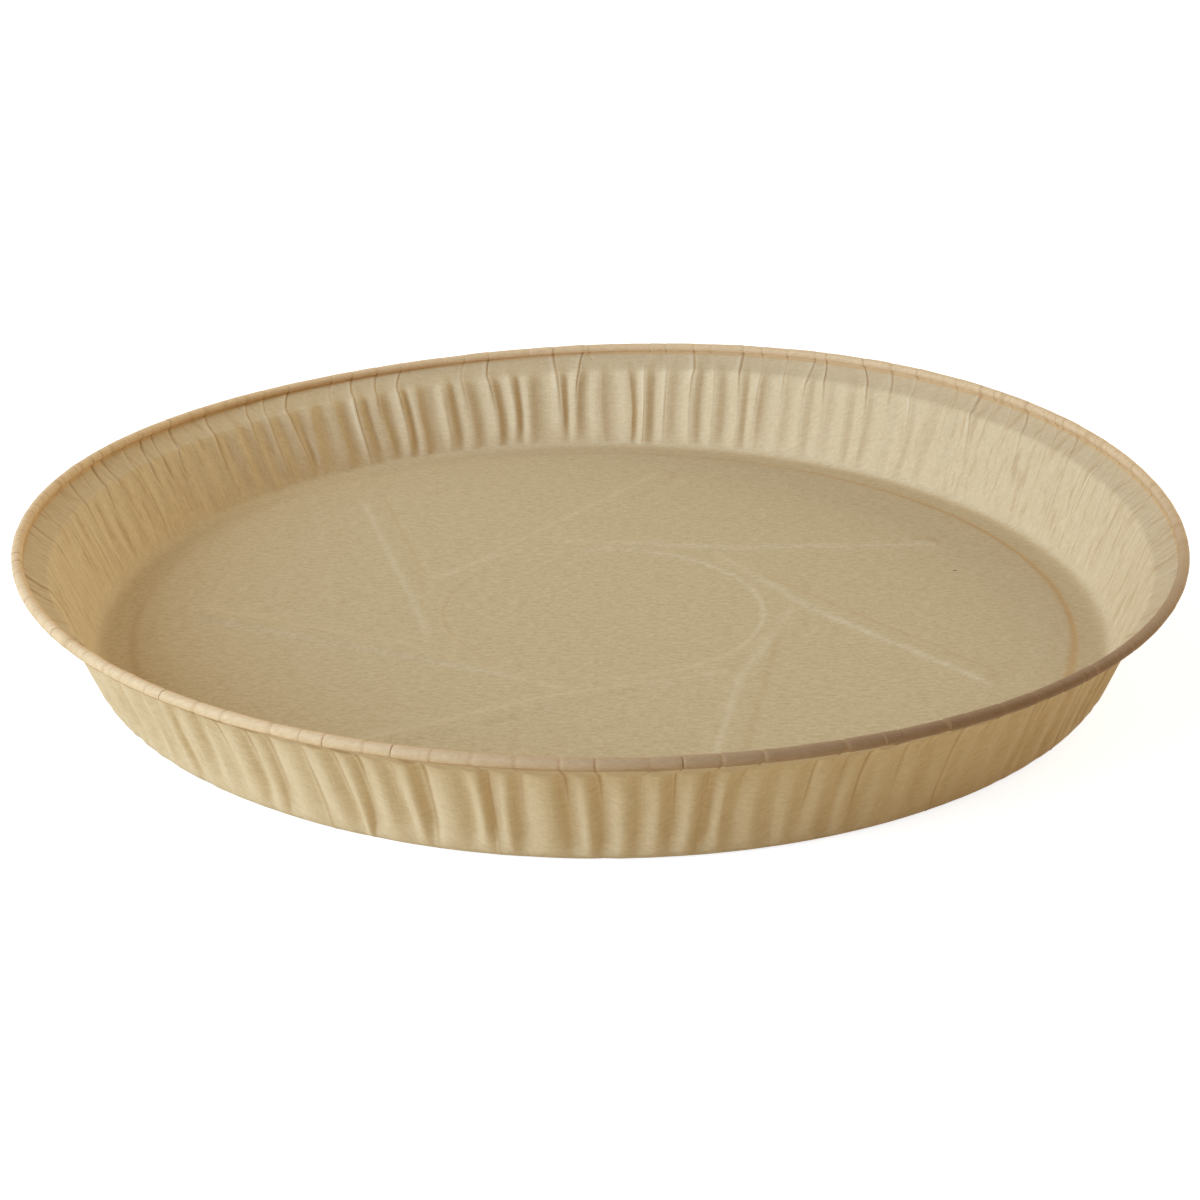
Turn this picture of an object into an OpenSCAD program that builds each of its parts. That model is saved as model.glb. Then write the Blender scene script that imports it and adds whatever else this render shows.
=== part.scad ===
// Shallow round baking tray pressed from one sheet of kraft board.
// The flat floor carries a pressed pinwheel of ribs, the wall is gathered into pleats,
// and a sloping flange runs out to an edge that is rolled over into a hollow bead.
// The floor lies flat, and the light board has sprung a little out of true towards its rim.
// Millimetres. The tray stands on z = 0, centred on the z axis.
//
// The sheet is one closed skin. Rings of points follow its upper side from the middle of
// the floor out over the rolled edge, and come back along its lower side.

/* [Overall size] */
// Outer diameter across the rolled edge
rim_d = 240; // [200:1:320]
// Height from the table to the top of the rolled edge, where the rim is true
height = 24.8; // [18:0.2:45]
// Thickness of the board
board = 0.45; // [0.3:0.05:0.6]

/* [Wall] */
// Lean of the wall from upright, in degrees
wall_lean = 22; // [6:0.5:35]
// Radius of the bend between floor and wall, on the outside
bend_r = 2.4; // [2:0.2:7]
// Number of pleats round the wall
pleats = 120; // [60:1:130]
// Depth of a full pleat, from its broad crest to its crease
pleat_depth = 1.1; // [0.2:0.1:1.6]
// How much the pleats vary in width and depth, as a share of one pleat
pleat_wander = 0.35; // [0:0.05:0.6]
// Depth of the pleats at the two ends of the board's grain, left and right, as a share
end_pleats = 0.35; // [0.1:0.05:1]

/* [Flange and rolled edge] */
// Width of the flange from the top of the wall to the rolled edge, seen from above
flange_w = 4.8; // [3:0.2:10]
// Slope of the flange, rising outwards, in degrees
flange_tilt = 33; // [5:1:45]
// Outer diameter of the rolled edge's tube
bead_d = 2.6; // [2.2:0.1:4]
// Width of the slit left open where the roll ends under the flange
roll_slit = 0.5; // [0.3:0.05:0.7]

/* [Warp of the rim] */
// How far the rim is tipped up on one side and down on the other
tip = 2.1; // [0:0.1:3]
// Direction of the raised side, in degrees from the right
tip_turn = 295; // [0:1:359]
// How far the rim is bent up and down into a saddle
saddle = 1.1; // [0:0.1:2]
// Direction of one of the saddle's raised sides
saddle_turn = 48; // [0:1:179]
// How far the rim is drawn out of round, at its widest
oval = 0.9; // [0:0.1:1.5]
// Direction in which the rim is widest
oval_turn = 103; // [0:1:179]

/* [Floor pressing] */
// Diameter of the sunk disc in the middle of the floor
disc_d = 67; // [40:1:72]
// Height of the pressed panel above that disc
panel_rise = 0.3; // [0.1:0.05:0.6]
// Extra height of the low ridge round the outside of the panel
ridge_rise = 0.15; // [0.05:0.05:0.4]
// Radius of the ridge's inner edge, as a share of the floor's radius
ridge_at = 0.87; // [0.86:0.01:0.91]
// Radius of the crease where the ridge falls back to the floor, as a share
crease_at = 0.94; // [0.93:0.01:0.96]
// Number of raised ribs in the pinwheel
ribs = 7; // [3:1:8]
// Width of a rib at its foot
rib_w = 6.4; // [3.6:0.2:7]
// Height of a rib above the panel
rib_h = 0.4; // [0.2:0.05:1]
// Distance from the tray's centre to the line of a rib's near edge
rib_skew = 32.4; // [24:0.2:34]
// Radius at which a rib's outer end stops, as a share of the floor's radius
rib_reach = 0.81; // [0.7:0.01:0.84]
// Turn of the whole pinwheel about the middle, in degrees
rib_turn = 2.3; // [0:0.1:51]

/* [Hidden] */
bead_r = bead_d / 2;
// The bead's centre, seen in the section.
bead_at = [rim_d / 2 - bead_r, height - bead_r];
along = [cos(flange_tilt), sin(flange_tilt)];
below = [sin(flange_tilt), -cos(flange_tilt)];
// The flange's upper side runs out under the bead's centre at this depth.
bead_sink = bead_r * 0.48;
flange_foot = bead_at + bead_sink * below;
// The groove where the flange meets the bead, and the shoulder at the wall's top.
groove = flange_foot - sqrt(bead_r * bead_r - bead_sink * bead_sink) * along;
shoulder = groove - flange_w / along[0] * along;
wall_slope = 90 - wall_lean;
bend_in = bend_r - board;
// End of the bend on the upper side, measured from the edge of the flat floor.
bend_end = [bend_in * sin(wall_slope), board + bend_in * (1 - cos(wall_slope))];
wall_rise = shoulder[1] - bend_end[1];
// Radius of the flat floor, up to the start of the bend.
floor_r = shoulder[0] - wall_rise * tan(wall_lean) - bend_end[0];

panel_top = board + panel_rise;
step_w = 0.9;
disc_r = disc_d / 2;
ridge_r = floor_r * ridge_at;
crease_r = floor_r * crease_at;
rib_near = rib_skew;
rib_far = rib_skew + rib_w;
// The inner ends of the ribs stop on a circle just outside the sunk disc.
rib_start = max(disc_r + step_w + 3, rib_far + 0.3);
rib_stop = floor_r * rib_reach;

// A repeatable number from 0 to 1 for each whole number n.
function scatter(n) = let (v = sin(n * 127.1 + 31.7) * 437.58) v - floor(v);

// A point at radius r, angle a and height z. Above the bend the warp moves it, by a share
// that grows to 1 at the rim.
function spot(r, a, z) =
    let (
        share = max(0, (z - bend_r) / (height - bend_r)),
        out = r + share * oval * cos(2 * (a - oval_turn)),
        up = z + share * (tip * cos(a - tip_turn) + saddle * cos(2 * (a - saddle_turn)))
    )
    [out * cos(a), out * sin(a), up];

// Floor: each ring is cut into as many equal sectors as there are ribs.
sector = round(63 / ribs);
floor_count = sector * ribs;
floor_step = 360 / floor_count;

// Angle of the q-th point of a sector at radius r. The first four points follow the
// straight edges of a rib: near foot, near top, far top, far foot.
function rib_angle(r, q) =
    q == 0 ? asin(rib_near / r)
    : q == 1 ? asin((rib_near + step_w) / r)
    : q == 2 ? asin((rib_far - step_w) / r)
    : let (
        from = asin(rib_far / r),
        to = asin(rib_near / r) + 360 / ribs
    )
    from + (to - from) * (q - 3) / (sector - 3);

// Start angle of an evenly spaced ring that joins on to a rib ring of radius r.
function even_start(r) =
    (asin(rib_near / r) + asin(rib_far / r)) / 2 - 1.5 * floor_step;
start_in = even_start(rib_start);
start_out = even_start(rib_stop);

// Radius, height, start angle of an evenly spaced ring, and rise of the rib's points.
// A ring that follows the ribs' edges has no start angle.
floor_rings = [
    [disc_r, board, start_in, 0],
    [disc_r + step_w, panel_top, start_in, 0],
    [rib_start, panel_top, undef, 0],
    [rib_start + step_w, panel_top, undef, rib_h],
    [rib_stop - step_w, panel_top, undef, rib_h],
    [rib_stop, panel_top, undef, 0],
    [ridge_r, panel_top, start_out, 0],
    [ridge_r + step_w, panel_top + ridge_rise, start_out, 0],
    [crease_r, panel_top + ridge_rise, start_out, 0],
    [crease_r + step_w, board, start_out, 0]
];

function floor_point(w, k, drop) =
    let (
        q = k % sector,
        s = floor(k / sector),
        local = w[2] == undef ? rib_angle(w[0], q) : w[2] + q * floor_step,
        rise = (q == 1 || q == 2) ? w[3] : 0
    )
    spot(w[0], rib_turn + s * 360 / ribs + local, w[1] + rise - drop);

function floor_ring(w, drop) = [for (k = [0 : floor_count - 1]) floor_point(w, k, drop)];

// Wall: three points to a pleat, one in the crease and two on the broad crest. The board
// gathers most at the front and the back, where the wall runs along its grain.
function fold_turn(p, q) =
    (p + [0, 0.3, 0.72][q] + pleat_wander * 0.3 * (scatter(3 * p + q) - 0.5)) * 360 / pleats;
function fold_depth(p, q) =
    q == 0 ? 1 - pleat_wander * scatter(7 * p + 5)
    : q == 1 ? pleat_wander * 0.3 * scatter(5 * p + 2)
    : pleat_wander * 0.5 * scatter(11 * p + 3);
function gather(a) = end_pleats + (1 - end_pleats) * pow(sin(a), 2);

// Radius and height on the upper side, slope, and share of the full pleat depth.
wall_rings = [
    [floor_r + bend_end[0], bend_end[1], wall_slope, 0.4],
    [floor_r + bend_end[0] + wall_rise * 0.4 * tan(wall_lean),
     bend_end[1] + wall_rise * 0.4, wall_slope, 1],
    [shoulder[0], shoulder[1], (wall_slope + flange_tilt) / 2, 0.8]
];

function wall_ring(w, drop) = [
    for (k = [0 : 3 * pleats - 1])
        let (
            p = floor(k / 3),
            q = k % 3,
            a = fold_turn(p, q),
            push = drop - pleat_depth * gather(a) * w[3] * fold_depth(p, q)
        )
        spot(w[0] + push * sin(w[2]), a, w[1] - push * cos(w[2]))
];

// Plain rings: one point to a pleat, for the bend, the flange and the bead.
function plain_ring(at) = [for (p = [0 : pleats - 1]) spot(at[0], fold_turn(p, 0), at[1])];

function bend_at(share, drop) =
    let (a = wall_slope * share, r = bend_in + drop)
    [floor_r + r * sin(a), board + bend_in - r * cos(a)];
function flange_at(share, drop) = shoulder + share * (groove - shoulder) + drop * below;
function bead_point(r, a) = bead_at + r * [cos(a), sin(a)];

// Angles round the bead, falling from the groove over the top to the free end.
groove_a = flange_tilt - 90 - acos(bead_sink / bead_r) + 360;
turn_a = flange_tilt - 90 - 22;
free_a = turn_a + roll_slit / bead_r * 180 / PI + 12;
outer_steps = 7;
hollow_steps = 5;
outer_ring = [for (i = [0 : outer_steps])
    bead_point(bead_r, groove_a + (free_a - groove_a) * i / outer_steps)];
hollow_ring = [for (i = [0 : hollow_steps])
    bead_point(bead_r - board, free_a + (turn_a + 360 - free_a) * i / hollow_steps)];
// The lower side of the sheet where the flange turns up into the roll.
turn_under = flange_foot - bead_r * 0.3 * along + board * below;

rings = concat(
    [for (w = floor_rings) floor_ring(w, 0)],
    [plain_ring(bend_at(0, 0)), plain_ring(bend_at(0.5, 0))],
    [for (w = wall_rings) wall_ring(w, 0)],
    [plain_ring(flange_at(0.35, 0))],
    [for (c = outer_ring) plain_ring(c)],
    [for (c = hollow_ring) plain_ring(c)],
    [plain_ring(turn_under), plain_ring(flange_at(0.35, board))],
    [for (i = [len(wall_rings) - 1 : -1 : 0]) wall_ring(wall_rings[i], board)],
    [plain_ring(bend_at(0.5, board)), plain_ring(bend_at(0, board))],
    [for (i = [len(floor_rings) - 1 : -1 : 0]) floor_ring(floor_rings[i], board)]
);

// Number of the first point of each ring.
function first(j) = j == 0 ? 0 : first(j - 1) + len(rings[j - 1]);
firsts = [for (j = [0 : len(rings) - 1]) first(j)];

// Point of the coarser ring that faces the middle of the finer ring's k-th step.
function facing(k, coarse, fine, shift) =
    let (i = floor((k + 0.5) * coarse / fine - shift + 0.5)) (i + 2 * coarse) % coarse;

// How far the coarser ring is turned ahead of the finer one, in its own steps.
function shift_of(coarse) = coarse == floor_count ? (rib_turn + start_out) / floor_step : 0;

// Triangles between ring j and ring j + 1.
function band(j) =
    let (
        n = len(rings[j]),
        m = len(rings[j + 1]),
        s = firsts[j],
        t = firsts[j + 1]
    )
    n == m ? [
        for (k = [0 : n - 1])
            for (half = [0, 1])
                half == 0
                    ? [s + k, s + (k + 1) % n, t + (k + 1) % n]
                    : [s + k, t + (k + 1) % n, t + k]
    ]
    : m > n ? concat(
        [for (k = [0 : m - 1])
            [s + facing(k, n, m, shift_of(n)), t + (k + 1) % m, t + k]],
        [for (k = [0 : m - 1])
            let (a = facing(k - 1, n, m, shift_of(n)), b = facing(k, n, m, shift_of(n)))
            if (a != b) [s + a, s + b, t + k]]
    )
    : concat(
        [for (k = [0 : n - 1])
            [s + k, s + (k + 1) % n, t + facing(k, m, n, shift_of(m))]],
        [for (k = [0 : n - 1])
            let (a = facing(k - 1, m, n, shift_of(m)), b = facing(k, m, n, shift_of(m)))
            if (a != b) [s + k, t + b, t + a]]
    );

// The whole tray, one sheet.
module tray() {
    last = len(rings) - 1;
    points = [for (ring = rings) for (p = ring) p];
    faces = concat(
        [[for (k = [floor_count - 1 : -1 : 0]) k]],
        [for (j = [0 : last - 1]) for (f = band(j)) f],
        [[for (k = [0 : floor_count - 1]) firsts[last] + k]]
    );
    color([0.74, 0.63, 0.47])
        polyhedron(points = points, faces = faces);
}

tray();
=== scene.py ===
"""Shallow round baking pan of pressed kraft board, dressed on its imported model.

The pan is one closed skin. Rings of points follow the board's upper side from the middle
of the floor, up the pleated wall, over the flange and round the rolled edge, and come
back along its lower side. Every ring is worked out with numpy as a whole array.
"""

import logging
import math
from collections.abc import Iterator
from dataclasses import dataclass, field
from enum import Enum

import bpy
import numpy as np
from mathutils import Matrix, Vector

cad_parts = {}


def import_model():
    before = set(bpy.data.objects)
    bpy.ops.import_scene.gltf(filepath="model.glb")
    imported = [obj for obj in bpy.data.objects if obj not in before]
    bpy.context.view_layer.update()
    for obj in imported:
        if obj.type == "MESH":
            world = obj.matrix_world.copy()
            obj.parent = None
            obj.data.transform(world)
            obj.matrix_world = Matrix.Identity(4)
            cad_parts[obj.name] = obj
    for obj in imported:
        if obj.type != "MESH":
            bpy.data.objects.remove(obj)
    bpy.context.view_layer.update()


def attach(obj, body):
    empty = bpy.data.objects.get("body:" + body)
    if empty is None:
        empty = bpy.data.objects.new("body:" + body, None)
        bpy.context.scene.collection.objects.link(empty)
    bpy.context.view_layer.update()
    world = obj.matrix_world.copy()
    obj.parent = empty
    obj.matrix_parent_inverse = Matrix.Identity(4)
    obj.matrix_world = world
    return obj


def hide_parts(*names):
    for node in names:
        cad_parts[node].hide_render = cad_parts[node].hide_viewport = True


log = logging.getLogger("board_pan")

MM = 0.001
BOARD = 0.45      # thickness of the board, in millimetres as the next three are
FLOOR_R = 104.34  # radius at which the floor turns up into the wall
RIM_R = 120.0     # outer radius of the rolled edge
RIM_H = 24.8      # height of the rolled edge's top

Rgba = tuple[float, float, float, float]


class Side(Enum):
    """The two faces of the board."""

    UPPER = 0
    LOWER = 1


def smooth(low: float, high: float, x: np.ndarray | float) -> np.ndarray:
    """Soft step from 0 at low to 1 at high: 3 t^2 - 2 t^3 of the clipped share t.

    Args:
        low: Value where the step starts.
        high: Value where it ends.
        x: Values to map.

    Returns:
        The step's height for each value.
    """
    t = np.clip((np.asarray(x, dtype=float) - low) / (high - low), 0.0, 1.0)
    return t * t * (3.0 - 2.0 * t)


def bell(x: np.ndarray, width: float) -> np.ndarray:
    """Bell curve exp(-(x / width)^2)."""
    return np.exp(-(np.asarray(x, dtype=float) / width) ** 2)


def wander(turn: np.ndarray, rng: np.random.Generator, waves: tuple[int, int]) -> np.ndarray:
    """Smooth random curve round the pan: a sum of cosines with random sizes and phases.

    Args:
        turn: Angles in radians.
        rng: Seeded generator.
        waves: Lowest and highest number of waves in a full turn.

    Returns:
        Values with a standard deviation of about 1.
    """
    n = np.arange(waves[0], waves[1] + 1)
    size = rng.normal(size=n.size)
    phase = rng.uniform(0, 2 * math.pi, n.size)
    total = (size * np.cos(np.outer(np.ravel(turn), n) + phase)).sum(axis=1)
    return (total / math.sqrt(0.5 * n.size)).reshape(np.shape(turn))


@dataclass(frozen=True)
class Warp:
    """How the light board has sprung out of true between its flat floor and its rim.

    Lengths are millimetres at the rim, and harmonics are (cosine, sine) pairs.
    """

    height: float = RIM_H
    still: float = 1.6
    start: float = 2.0
    lift_1: tuple[float, float] = (0.88, -1.91)
    lift_2: tuple[float, float] = (-0.10, 1.09)
    lift_3: tuple[float, float] = (-0.49, 0.17)
    out_2: tuple[float, float] = (-0.79, -0.38)
    out_3: tuple[float, float] = (-0.10, 0.05)
    shift: tuple[float, float] = (-0.64, -0.47)

    def apply(self, points: np.ndarray) -> np.ndarray:
        """Move points by the warp, in full at the rim and not at all on the floor.

        The share of the warp at a height is the mean of a soft and a straight rise, and
        nothing below the height named still is moved.

        Args:
            points: Array of x, y, z rows in millimetres.

        Returns:
            The moved points.
        """
        x, y, z = points.T
        turn = np.arctan2(y, x)
        radius = np.hypot(x, y)
        share = 0.5 * smooth(self.start, self.height, z) + 0.5 * np.clip(z / self.height, 0, 1)
        share = np.where(z > self.still, share, 0.0)

        def wave(pair: tuple[float, float], n: int) -> np.ndarray:
            return pair[0] * np.cos(n * turn) + pair[1] * np.sin(n * turn)

        lift = wave(self.lift_1, 1) + wave(self.lift_2, 2) + wave(self.lift_3, 3)
        out = wave(self.out_2, 2) + wave(self.out_3, 3)
        radius = radius + share * out * radius / RIM_R
        return np.column_stack((
            radius * np.cos(turn) + share * self.shift[0],
            radius * np.sin(turn) + share * self.shift[1],
            z + share * lift,
        ))


@dataclass(frozen=True)
class FloorPressing:
    """The pressed floor: sunk disc, raised panel, pinwheel of ribs and outer ridge."""

    floor_r: float = FLOOR_R
    board: float = BOARD
    disc_r: float = 33.9
    disc_edge: float = 0.7
    panel_rise: float = 0.30
    ridge_r: float = 91.1
    ridge_edge: float = 1.6
    crease_r: float = 98.3
    ridge_rise: float = 0.12
    ribs: int = 7
    rib_turn: float = math.radians(2.3)
    rib_near: float = 32.4
    rib_far: float = 38.8
    rib_h: float = 0.40
    rib_start: float = 39.1
    rib_full: float = 29.4
    rib_taper: float = 0.19
    rib_stop: float = 84.9
    sector: int = 24

    def height(self, x: np.ndarray, y: np.ndarray) -> np.ndarray:
        """Height of the floor's upper side: soft steps in radius, plus seven bars.

        Args:
            x: Positions across, in millimetres.
            y: Positions in depth, in millimetres.

        Returns:
            Heights in millimetres.
        """
        r = np.hypot(x, y)
        disc, half = self.disc_r, self.disc_edge
        z = self.board + self.panel_rise * smooth(disc - half, disc + half, r)
        ridge, half = self.ridge_r, self.ridge_edge
        z = z + self.ridge_rise * smooth(ridge - half, ridge + half, r)
        fall = self.panel_rise + self.ridge_rise
        z = z - fall * smooth(self.crease_r - 1.3, self.crease_r + 1.0, r)
        for near, far, along in self._bars(x, y):
            z = z + self.rib_h * along * smooth(-0.3, 1.5, near) * smooth(-0.3, 1.5, far)
        return z

    def painted_highlight(self, x: np.ndarray, y: np.ndarray) -> np.ndarray:
        """Share of painted highlight: bells of pale colour along the ribs' edges and the disc's rim.

        Args:
            x: Positions across, in millimetres.
            y: Positions in depth, in millimetres.

        Returns:
            Shares from 0 to 1.
        """
        rub = 0.7 * bell(np.hypot(x, y) - self.disc_r - 0.3, 0.9)
        for near, far, along in self._bars(x, y):
            rub = np.maximum(rub, along * (bell(near - 0.4, 1.0) + 0.6 * bell(far - 0.4, 0.8)))
        return np.clip(rub, 0.0, 1.0)

    def _bars(self, x: np.ndarray, y: np.ndarray) -> Iterator[tuple[np.ndarray, ...]]:
        """Each rib in turn: distances inside its near and far edges, and 1 along its length."""
        r = np.hypot(x, y)
        for i in range(self.ribs):
            a = self.rib_turn + i * 2 * math.pi / self.ribs
            s = x * math.cos(a) + y * math.sin(a)
            w = -x * math.sin(a) + y * math.cos(a)
            near = self.rib_near + self.rib_taper * np.maximum(self.rib_full - s, 0.0)
            along = (1 - smooth(self.rib_stop - 2.0, self.rib_stop + 1.0, r)) * (s > -8)
            yield w - near, self.rib_far - w, along

    def radii(self) -> np.ndarray:
        """Ring radii, close together where the floor steps."""
        d, a, b, g, c = (self.disc_r, self.rib_start, self.rib_stop, self.ridge_r, self.crease_r)
        return np.array([
            5, 11, 18, 25, 30, d - 1.2, d - 0.7, d - 0.3, d, d + 0.3, d + 0.7, d + 1.3,
            36.5, a - 1.0, a - 0.4, a + 0.1, a + 0.6, a + 1.1, a + 1.7, 42.5, 45.5, 50, 55, 61,
            67, 73, 78, b - 3, b - 1.6, b - 1.0, b - 0.5, b, b + 0.6, b + 1.5, 88, g - 1.6,
            g - 0.6, g + 0.6, g + 1.6, 94.5, 96.0, c - 1.3, c - 0.8, c - 0.3, c, c + 0.3, c + 0.8,
            100.6, 102.9,
        ])

    def turns(self, r: float) -> np.ndarray:
        """Angles of a ring's points, which follow the ribs' straight edges where there are ribs.

        A point at distance w from a rib's axis line lies at asin(w / r) from its direction.

        Args:
            r: Radius of the ring.

        Returns:
            Angles in radians, one sector after another.
        """
        near, far = self.rib_near, self.rib_far
        w = np.array([
            near - 0.6, near - 0.1, near + 0.4, near + 0.9, near + 1.4, near + 2.2, 35.6,
            far - 2.2, far - 1.4, far - 0.9, far - 0.4, far + 0.1, far + 0.6,
        ])
        held = min(max(r, far + 1.0), self.rib_stop + 1.0)
        bar = np.arcsin(w / held)
        gap = self.sector - w.size
        pitch = 2 * math.pi / self.ribs
        step = (bar[0] + pitch - bar[-1]) / (gap + 1)
        local = np.concatenate((bar, bar[-1] + step * np.arange(1, gap + 1)))
        even = local.mean() + (np.arange(self.sector) - (self.sector - 1) / 2) * pitch / self.sector
        share = smooth(self.disc_r + self.disc_edge, far + 0.3, r)
        share = share * (1 - smooth(self.rib_stop + 1, self.ridge_r - self.ridge_edge, r))
        local = even + (local - even) * share
        return (self.rib_turn + local[None, :] + pitch * np.arange(self.ribs)[:, None]).ravel()

    def rings(self, side: Side) -> list[np.ndarray]:
        """Rings of x, y, z rows for one face of the floor, from the middle out."""
        drop = self.board if side is Side.LOWER else 0.0
        out = []
        for r in self.radii():
            a = self.turns(float(r))
            x, y = r * np.cos(a), r * np.sin(a)
            out.append(np.column_stack((x, y, self.height(x, y) - drop)))
        return out


@dataclass(frozen=True)
class Section:
    """The section of wall, flange and bead, as stations along the board's upper side."""

    floor_r: float = FLOOR_R
    board: float = BOARD
    bend_in: float = 2.0
    wall_slope: float = 68.0
    flange_slope: float = 33.0
    shoulder: tuple[float, float] = (113.28, 19.24)
    shoulder_r: float = 1.7
    rim_r: float = RIM_R
    height: float = RIM_H
    bead_r: float = 1.12
    sink: float = 0.48
    bend_way: float = 0.14
    wall_way: float = 0.78

    @property
    def bead_at(self) -> np.ndarray:
        """Centre of the rolled edge's tube."""
        return np.array([self.rim_r - self.bead_r, self.height - self.bead_r])

    @property
    def groove(self) -> np.ndarray:
        """Where the flange's upper side meets the tube, which it passes at a depth of sink."""
        a = math.radians(self.flange_slope)
        along = np.array([math.cos(a), math.sin(a)])
        below = np.array([math.sin(a), -math.cos(a)])
        back = math.sqrt(1 - self.sink ** 2)
        return self.bead_at + self.bead_r * (self.sink * below - back * along)

    def stations(self) -> np.ndarray:
        """Stations of the upper side from the bend to the groove.

        The bend and the shoulder are arcs at c + r (sin a, -cos a), and the wall and the
        flange are straight between them.

        Returns:
            Rows of radius, height, slope in radians, and share of the way: 0 to 1 up the
            wall and 1 to 2 across the flange.
        """
        rows: list[tuple[float, float, float, float]] = []
        lo, hi = math.radians(self.flange_slope), math.radians(self.wall_slope)
        for a in np.radians([0.0, 24.0, 46.0, self.wall_slope]):
            rows.append((self.floor_r + self.bend_in * math.sin(a),
                         self.board + self.bend_in * (1 - math.cos(a)), a, self.bend_way * a / hi))
        tangent = self.shoulder_r * math.tan((hi - lo) / 2)
        start = np.array(rows[-1][:2])
        corner = np.array(self.shoulder)
        up = (corner - start) / np.linalg.norm(corner - start)
        top = corner - tangent * up
        for share in (0.11, 0.24, 0.38, 0.52, 0.65, 0.76, 0.86, 0.94):
            p = start + share * (top - start)
            rows.append((p[0], p[1], hi, self.bend_way + self.wall_way * share))
        centre = top + self.shoulder_r * np.array([math.sin(hi), -math.cos(hi)])
        for i, a in enumerate(np.linspace(hi, lo, 4)):
            rows.append((centre[0] - self.shoulder_r * math.sin(a),
                         centre[1] + self.shoulder_r * math.cos(a), a, 0.95 + 0.035 * i))
        first = np.array(rows[-1][:2])
        last = self.groove
        for share in (0.25, 0.52, 0.78, 0.93):
            p = first + share * (last - first)
            rows.append((p[0], p[1], lo, 1.05 + 0.95 * share))
        return np.array(rows)

    def bead_angles(self) -> tuple[np.ndarray, np.ndarray]:
        """Angles round the bead's outer face and its hollow, both falling, in radians."""
        start = self.flange_slope - 90 - math.degrees(math.acos(self.sink)) + 360
        turn = self.flange_slope - 90 - 22
        free = turn + math.degrees(0.5 / self.bead_r) + 12
        outer = np.radians(np.linspace(start, free, 13))
        hollow = np.radians(np.linspace(free, turn + 360, 4))
        return outer, hollow


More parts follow.
